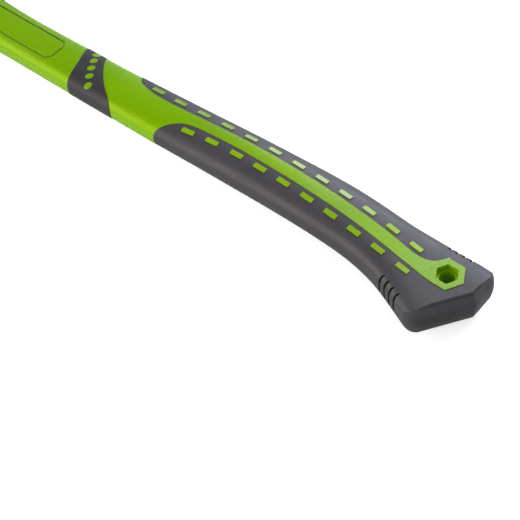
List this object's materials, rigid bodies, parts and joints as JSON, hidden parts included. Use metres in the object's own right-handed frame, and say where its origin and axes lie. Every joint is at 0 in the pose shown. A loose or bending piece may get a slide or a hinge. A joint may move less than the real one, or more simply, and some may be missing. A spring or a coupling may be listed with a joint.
{
  "type": "roofing hatchet",
  "caption": "Roofing hatchet with milled hammer poll, hatchet blade, sliding shingle gauge, replaceable heel blade and soft-grip fibreglass handle with hanging hole.",
  "frame": {"origin": "centre of the hanging hole in the pommel, at mid thickness of the handle", "axes": "+X along the handle towards the head, +Y towards the blade side, +Z normal to the flat side of the tool"},
  "size_m": [0.441, 0.1826, 0.0297],
  "materials": {
    "core_fibreglass": "pultruded glass fibre",
    "jacket_green": "moulded lime green",
    "grip_grey": "matt dark grey soft grip",
    "head_steel": "forged, polished faces",
    "epoxy": "cast resin",
    "cap_black": "moulded",
    "pin_steel": "spring steel",
    "cup_zinc": "zinc plated",
    "magnet": "nickel plated",
    "blade_steel": "ground",
    "fixing_black": "black oxide",
    "zinc": "zinc plated",
    "brass": "knurled brass"
  },
  "bodies": {
    "hatchet": {"fibreglass_core": "core_fibreglass", "handle_jacket": "jacket_green", "grip_overmould": "grip_grey", "collar_band": "grip_grey", "hatchet_head": "head_steel", "eye_epoxy": "epoxy", "eye_cap": "cap_black", "head_pin": "pin_steel", "magnet_cup": "cup_zinc", "nail_magnet": "magnet", "cutting_blade": "blade_steel", "blade_clamp": "fixing_black", "blade_screws": "fixing_black", "blade_nuts": "zinc"},
    "gauge": {"gauge_stop_screw": "zinc", "gauge_washer": "zinc"},
    "gauge_lift": {"gauge_spring_washer": "pin_steel"},
    "gauge_nut": {"gauge_thumb_nut": "brass"}
  },
  "joints": [
    {"name": "gauge_slide", "type": "slide", "parent": "hatchet", "child": "gauge", "axis": [0, 1, 0], "range_m": [0, 0.041]},
    {"name": "nut_lift", "type": "slide", "parent": "gauge", "child": "gauge_lift", "axis": [0, 0, 1], "range_m": [0, 0.0015]},
    {"name": "nut_spin", "type": "hinge", "parent": "gauge_lift", "child": "gauge_nut", "pos_m": [0.406, 0.0425, 0], "axis": [0, 0, 1], "range_deg": [0, 540]}
  ],
  "couplings": [
    {"joint": "nut_spin", "follows": "nut_lift", "rad_per_m": 6283.2}
  ]
}
